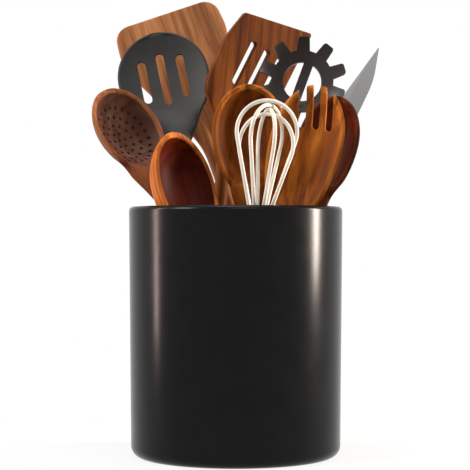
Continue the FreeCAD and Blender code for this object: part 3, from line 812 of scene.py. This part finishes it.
class CROCK_OT_spoons(bpy.types.Operator):
    """Make the wooden spoons: ladle, serving spoon, mixing spoon, fork spoon and skimmer"""

    bl_idname = "crock.spoons"
    bl_label = "Wooden spoons"

    def execute(self, context):
        every = settings()
        colours = every.colours
        openings = every.openings
        # The seventh column is the darker wood colour painted into each bowl's hollow as shade.
        finishes = (
            ("ladle", "red_wood", "ladle_wood", colours.russet, 3, 0.7, linear(96, 30, 11), 0.7),
            ("serving_spoon", "amber_wood", "serving_wood", colours.amber, 7, 1.2, linear(140, 72, 20), 1.1),
            ("mixing_spoon", "dark_wood", "mixing_wood", colours.cocoa, 11, 0.8, linear(86, 30, 11), 0.9),
            ("fork_spoon", "amber_wood", "fork_wood", colours.amber, 17, 2.0, linear(160, 88, 27), 1.15),
            ("skimmer", "dark_wood", "skimmer_wood", colours.copper, 23, 0.8, linear(104, 68, 54), 0.7),
        )
        past_tip = 0.03
        for name, slot, label, colour, seed, swirl, shaded_hollow, contrast in finishes:
            finish = oiled_wood(label, colour, seed, swirl, shaded_hollow, contrast)
            sizes = getattr(every, name)
            piece = linked(name + "_wood", spoon_mesh(name, sizes, HANDLE_RADIUS))
            if name == "fork_spoon":
                height = sizes.length - openings.fork_slot_length
                length = openings.fork_slot_length + past_tip
                cut(piece, slot_tool("fork_gaps", 3, openings.fork_pitch, openings.fork_slot, length, height,
                                     -openings.fork_lean, openings.fork_shift))
            if name == "skimmer":
                cut(piece, hole_tool("skimmer_pins", openings, sizes, finish))
            stand_spoon(piece, name, sizes)
            finish_piece(piece, name, [name], finish)
        return {"FINISHED"}


class CROCK_OT_turners(bpy.types.Operator):
    """Make the flat turner and the slotted turner"""

    bl_idname = "crock.turners"
    bl_label = "Turners"

    def execute(self, context):
        colours = settings().colours
        for name, slot, colour, seed, contrast, centre in (
            ("flat_turner", "light_wood", colours.tan, 31, 0.7, (0.012, 0.090)),
            ("slotted_turner", "brown_wood", colours.chestnut, 41, 1.15, (0.050, 0.060)),
        ):
            finish = oiled_wood(name + "_wood", colour, seed, 0.6, None, contrast, centre)
            piece = merged_copy(name, name + "_wood")
            write_grain(piece.data, standing(name))
            finish_piece(piece, name, [name], finish)
        return {"FINISHED"}


def wooden_stick(body, seed):
    """The separate wooden handle of a utensil."""
    piece = merged_copy(body + "_handle", body + "_stick")
    write_grain(piece.data, standing(body))
    wood = oiled_wood(body + "_wood", settings().colours.chestnut, seed)
    finish_piece(piece, body, [body + "_handle"], wood)


class CROCK_OT_slotted_spoon(bpy.types.Operator):
    """Make the grey silicone spoon and its wooden handle"""

    bl_idname = "crock.slotted_spoon"
    bl_label = "Slotted spoon"

    def execute(self, context):
        every = settings()
        sizes = every.slotted_spoon
        openings = every.openings
        start = sizes.length - sizes.bowl_length - sizes.neck_length - STEM_LENGTH
        mesh = spoon_mesh("slotted_spoon_head", sizes, STEM_RADIUS, start)
        head = linked("slotted_spoon_silicone", mesh)
        height = widest_height(sizes) - openings.spoon_slot_length / 2
        cut(head, slot_tool("spoon_gaps", 3, openings.spoon_pitch, openings.spoon_slot,
                            openings.spoon_slot_length, height, middle_extra=openings.spoon_middle_extra))
        stand_spoon(head, "slotted_spoon", sizes)
        slate = moulded("slate_silicone", every.colours.slate, 0.52, 900.0, 0.04)
        finish_piece(head, "slotted_spoon", ["slotted_spoon_head"], slate)
        wooden_stick("slotted_spoon", 53)
        return {"FINISHED"}


class CROCK_OT_pasta_server(bpy.types.Operator):
    """Make the pasta server and its wooden handle"""

    bl_idname = "crock.pasta_server"
    bl_label = "Pasta server"

    def execute(self, context):
        head = merged_copy("pasta_server_head", "pasta_server_nylon")
        nylon = moulded("charcoal_nylon", settings().colours.charcoal, 0.30, 1100.0)
        finish_piece(head, "pasta_server", ["pasta_server_head"], nylon)
        wooden_stick("pasta_server", 61)
        return {"FINISHED"}


def wire_points(sizes, loop):
    """The middle line of one wire loop in its own plane, up from its end in the collar."""
    bend_height = 0.003
    bend_steps = 8
    top_steps = 24
    height = sizes.balloon_height - loop * sizes.step
    bend = Vector((sizes.circle, 0, bend_height))
    centre = Vector((0, 0, height))
    lean = math.asin(sizes.balloon_radius / (bend - centre).length) - math.atan2(bend.x, height - bend.z)
    reach = sizes.bend * math.tan(lean / 2)
    middle = Vector((sizes.circle + sizes.bend, 0, bend.z - reach))
    half = [Vector((sizes.circle, 0, -sizes.depth))]
    for step in range(bend_steps + 1):
        turn = lean * step / bend_steps
        half.append(middle + Vector((-math.cos(turn), 0, math.sin(turn))) * sizes.bend)
    for step in range(top_steps + 1):
        turn = -lean + (math.pi / 2 + lean) * step / top_steps
        half.append(centre + Vector((math.cos(turn), 0, math.sin(turn))) * sizes.balloon_radius)
    other = [Vector((-p.x, 0, p.z)) for p in reversed(half[:-1])]
    return half + other


class CROCK_OT_whisk(bpy.types.Operator):
    """Make the whisk: wire loops swept along their paths, the collar and the handle"""

    bl_idname = "crock.whisk"
    bl_label = "Whisk"

    def execute(self, context):
        every = settings()
        sizes = every.whisk
        cream = moulded("cream_silicone", every.colours.cream, 0.42, 1200.0, 0.05)
        first_turn = 14
        inputs = [("Wire radius", "NodeSocketFloat"), ("Finish", "NodeSocketMaterial")]
        tree, given, output = new_tree("whisk_wire", inputs)
        line = tree.nodes.new("GeometryNodeMeshToCurve")
        ring = tree.nodes.new("GeometryNodeCurvePrimitiveCircle")
        ring.inputs["Resolution"].default_value = 18
        sweep = tree.nodes.new("GeometryNodeCurveToMesh")
        sweep.inputs["Fill Caps"].default_value = True
        tree.links.new(given.outputs["Geometry"], line.inputs["Mesh"])
        tree.links.new(given.outputs["Wire radius"], ring.inputs["Radius"])
        tree.links.new(line.outputs["Curve"], sweep.inputs["Curve"])
        tree.links.new(ring.outputs["Curve"], sweep.inputs["Profile Curve"])
        end_tree(tree, output, sweep.outputs["Mesh"])
        place = standing("whisk")
        for loop in range(sizes.loops):
            mesh = chain("wire_path", wire_points(sizes, loop))
            turn = Matrix.Rotation(math.radians(first_turn + loop * 180 / sizes.loops), 4, "Z")
            mesh.transform(place @ Matrix.Translation((0, 0, sizes.base)) @ turn)
            piece = linked("whisk_wire_%d" % (loop + 1), mesh)
            baked(piece, tree, {"Wire radius": sizes.wire_radius, "Finish": cream})
            soften(piece.data, SMOOTH_WIRE)
            finish_piece(piece, "whisk", ["whisk_loop_%d" % (loop + 1)], cream)
        collar = merged_copy("whisk_collar", "whisk_collar_silicone")
        finish_piece(collar, "whisk", ["whisk_collar"], cream)
        wooden_stick("whisk", 71)
        return {"FINISHED"}


class CROCK_OT_knife(bpy.types.Operator):
    """Make the knife: blade, handle scales and rivets"""

    bl_idname = "crock.knife"
    bl_label = "Knife"

    def execute(self, context):
        colours = settings().colours
        steel = brushed_steel(colours.steel)
        black = moulded("black_scale", colours.handle, 0.45, 700.0)
        for node, slot, finish, degrees in (
            ("knife_blade", "steel", steel, SMOOTH_BLADE),
            ("knife_rivets", "steel", steel, SMOOTH),
            ("knife_scale_front", "black_handle", black, SMOOTH),
            ("knife_scale_back", "black_handle", black, SMOOTH),
        ):
            piece = merged_copy(node, node + "_made", degrees)
            write_grain(piece.data, standing("knife"))
            finish_piece(piece, "knife", [node], finish)
        return {"FINISHED"}


def direct_rays(nodes, links):
    """A socket that is 1 for what the camera sees straight, in gloss or through glass, and else 0."""
    path = nodes.new("ShaderNodeLightPath")
    seen = path.outputs["Is Camera Ray"]
    for kind in ("Is Transmission Ray", "Is Glossy Ray"):
        either = nodes.new("ShaderNodeMath")
        either.operation = "MAXIMUM"
        links.new(seen, either.inputs[0])
        links.new(path.outputs[kind], either.inputs[1])
        seen = either.outputs[0]
    return seen


def white_paper():
    """Paper that is seen as white, keeps some shadow near the crock and sends little light back."""
    paper = Shader("white_paper")
    place = paper.add("ShaderNodeTexCoord").outputs["Object"]
    away = paper.add("ShaderNodeVectorMath", _0=place)
    away.operation = "LENGTH"
    reach = paper.add("ShaderNodeMapRange", Value=away.outputs["Value"])
    reach.interpolation_type = "SMOOTHSTEP"
    reach.inputs["From Min"].default_value = 0.12
    reach.inputs["From Max"].default_value = 0.46
    tone = paper.ramp(reach.outputs[0], [(0.15, (0.80, 0.80, 0.80)), (0.85, (0.25, 0.25, 0.25))])
    paper.set(Base_Color=tone, Roughness=0.9, Specular_IOR_Level=0.0)
    glow = paper.add("ShaderNodeEmission", Color=(1, 1, 1, 1), Strength=1.0)
    share = paper.spread(reach.outputs[0], 0.84, 1.0)
    share.node.inputs["From Max"].default_value = 0.45
    seen = paper.add("ShaderNodeMath", _0=direct_rays(paper.nodes, paper.links), _1=share)
    seen.operation = "MULTIPLY"
    blend = paper.add("ShaderNodeMixShader", Fac=seen.outputs[0])
    paper.links.new(paper.surface.outputs[0], blend.inputs[1])
    paper.links.new(glow.outputs[0], blend.inputs[2])
    paper.links.new(blend.outputs[0], paper.nodes["Material Output"].inputs["Surface"])
    return paper.material


def white_world():
    """A world that is seen as white and lights the object softly."""
    world = bpy.data.worlds.new("studio")
    world.use_nodes = True
    nodes, links = world.node_tree.nodes, world.node_tree.links
    level = nodes.new("ShaderNodeMix")
    level.inputs[2].default_value = WORLD_LIGHT
    level.inputs[3].default_value = 1.0
    links.new(direct_rays(nodes, links), level.inputs[0])
    back = nodes["Background"]
    back.inputs["Color"].default_value = (1, 1, 1, 1)
    links.new(level.outputs[0], back.inputs["Strength"])
    return world


class CROCK_OT_stage(bpy.types.Operator):
    """Make the pale floor, the lamps, the world and the camera"""

    bl_idname = "crock.stage"
    bl_label = "Stage"

    def execute(self, context):
        scene = context.scene
        scene.view_settings.view_transform = "Standard"
        corners = [(x * FLOOR_REACH, y * FLOOR_REACH, 0) for x, y in ((-1, -1), (1, -1), (1, 1), (-1, 1))]
        mesh = bpy.data.meshes.new("floor")
        mesh.from_pydata(corners, [], [(0, 1, 2, 3)])
        mesh.materials.append(white_paper())
        linked("floor", mesh)
        scene.world = white_world()
        for name, (spot, aim, width, height, power, tint) in LAMPS.items():
            data = bpy.data.lights.new(name, "AREA")
            data.shape = "RECTANGLE"
            data.size = width
            data.size_y = height
            data.energy = power
            data.color = tint
            lamp = linked(name, data)
            lamp.location = spot
            lamp.rotation_euler = (Vector(aim) - Vector(spot)).to_track_quat("-Z", "Y").to_euler()
        data = bpy.data.cameras.new("camera")
        data.sensor_width = 36.0
        data.lens = data.sensor_width * FOCAL / PICTURE
        data.shift_x = SHIFT / PICTURE
        data.clip_start = 0.01
        camera = linked("camera", data)
        camera.location = EYE
        camera.rotation_euler = (math.pi / 2, 0, 0)
        scene.camera = camera
        return {"FINISHED"}


class CROCK_PT_panel(bpy.types.Panel):
    """Buttons that make the crock and its utensils"""

    bl_label = "Utensil crock"
    bl_idname = "CROCK_PT_panel"
    bl_space_type = "VIEW_3D"
    bl_region_type = "UI"
    bl_category = "Crock"

    def draw(self, context):
        column = self.layout.column()
        for operator in OPERATORS:
            column.operator(operator.bl_idname)
        for name in ("height", "top_radius", "wall"):
            column.prop(context.scene.crock_settings.body, name)
        for name in ("glaze", "tan", "chestnut", "amber", "russet", "cocoa"):
            column.prop(context.scene.crock_settings.colours, name)


OPERATORS = (CROCK_OT_body, CROCK_OT_spoons, CROCK_OT_turners, CROCK_OT_slotted_spoon,
             CROCK_OT_pasta_server, CROCK_OT_whisk, CROCK_OT_knife, CROCK_OT_stage)
CLASSES = (CrockLadleSizes, CrockServingSizes, CrockMixingSizes, CrockForkSizes, CrockSkimmerSizes,
           CrockSlottedSizes, CrockBodySizes, CrockOpeningSizes, CrockWhiskSizes, CrockColours,
           CrockSettings) + OPERATORS + (CROCK_PT_panel,)


def register():
    for item in CLASSES:
        bpy.utils.register_class(item)
    bpy.types.Scene.crock_settings = PointerProperty(type=CrockSettings)


def unregister():
    del bpy.types.Scene.crock_settings
    for item in reversed(CLASSES):
        bpy.utils.unregister_class(item)


def main():
    register()
    bpy.ops.crock.body()
    bpy.ops.crock.spoons()
    bpy.ops.crock.turners()
    bpy.ops.crock.slotted_spoon()
    bpy.ops.crock.pasta_server()
    bpy.ops.crock.whisk()
    bpy.ops.crock.knife()
    bpy.ops.crock.stage()


if __name__ == "__main__":
    main()
